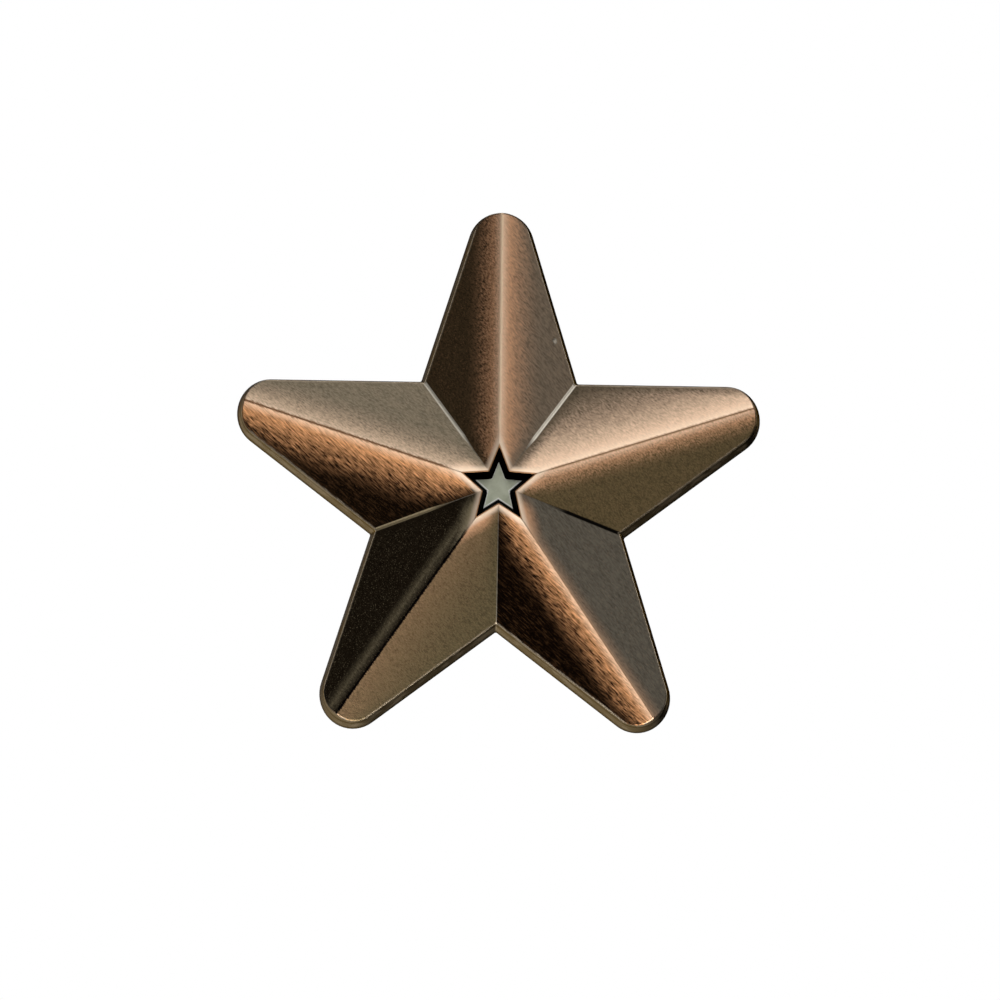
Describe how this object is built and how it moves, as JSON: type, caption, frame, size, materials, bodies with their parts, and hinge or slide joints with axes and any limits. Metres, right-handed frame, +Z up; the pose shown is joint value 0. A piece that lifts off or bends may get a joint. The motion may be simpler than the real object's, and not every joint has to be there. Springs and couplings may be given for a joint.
{
  "type": "star pin",
  "caption": "Faceted star pin in brushed antique bronze, with a small star sunk in its centre and squeeze-to-open butterfly clutches on its posts.",
  "frame": {"origin": "middle of the star on its flat back face", "axes": "+Z up towards the top tip as worn, +Y out of the back along the posts, the faceted face looks along -Y, -X is the left side seen from the front"},
  "size_m": [0.038, 0.014, 0.0379],
  "materials": {
    "antique_bronze": "brushed antique bronze, dark in the valleys",
    "post_bronze": "drawn wire, antique bronze",
    "solder_tin": "dull soft solder",
    "clutch_brass": "pressed sheet brass",
    "spring_brass": "rolled spring brass"
  },
  "bodies": {
    "star_pin": {"star_body": "antique_bronze", "solder_left": "solder_tin", "solder_right": "solder_tin", "post_left": "post_bronze", "post_right": "post_bronze"},
    "clutch_left": {"clutch_plate_left": "clutch_brass", "spring_seat_left": "spring_brass"},
    "wing_upper_left": {"wing_upper_left": "spring_brass"},
    "wing_lower_left": {"wing_lower_left": "spring_brass"},
    "clutch_right": {"clutch_plate_right": "clutch_brass", "spring_seat_right": "spring_brass"},
    "wing_upper_right": {"wing_upper_right": "spring_brass"},
    "wing_lower_right": {"wing_lower_right": "spring_brass"}
  },
  "joints": [
    {"name": "clutch_left_pull", "type": "slide", "parent": "star_pin", "child": "clutch_left", "axis": [0, 1, 0], "range_m": [0, 0.009]},
    {"name": "wing_upper_left_squeeze", "type": "hinge", "parent": "clutch_left", "child": "wing_upper_left", "pos_m": [-0.006, 0.0021, 0.00475], "axis": [-1, 0, 0], "range_deg": [0, 10], "stiffness_Nm_per_rad": 0.1, "springref_deg": -1.72},
    {"name": "wing_lower_left_squeeze", "type": "hinge", "parent": "clutch_left", "child": "wing_lower_left", "pos_m": [-0.006, 0.0021, -0.00085], "axis": [1, 0, 0], "range_deg": [0, 10]},
    {"name": "clutch_right_pull", "type": "slide", "parent": "star_pin", "child": "clutch_right", "axis": [0, 1, 0], "range_m": [0, 0.009]},
    {"name": "wing_upper_right_squeeze", "type": "hinge", "parent": "clutch_right", "child": "wing_upper_right", "pos_m": [0.006, 0.0021, 0.00475], "axis": [-1, 0, 0], "range_deg": [0, 10], "stiffness_Nm_per_rad": 0.1, "springref_deg": -1.72},
    {"name": "wing_lower_right_squeeze", "type": "hinge", "parent": "clutch_right", "child": "wing_lower_right", "pos_m": [0.006, 0.0021, -0.00085], "axis": [1, 0, 0], "range_deg": [0, 10]}
  ],
  "couplings": [
    {"joint": "wing_lower_left_squeeze", "follows": "wing_upper_left_squeeze", "ratio": 1},
    {"joint": "wing_lower_right_squeeze", "follows": "wing_upper_right_squeeze", "ratio": 1}
  ]
}
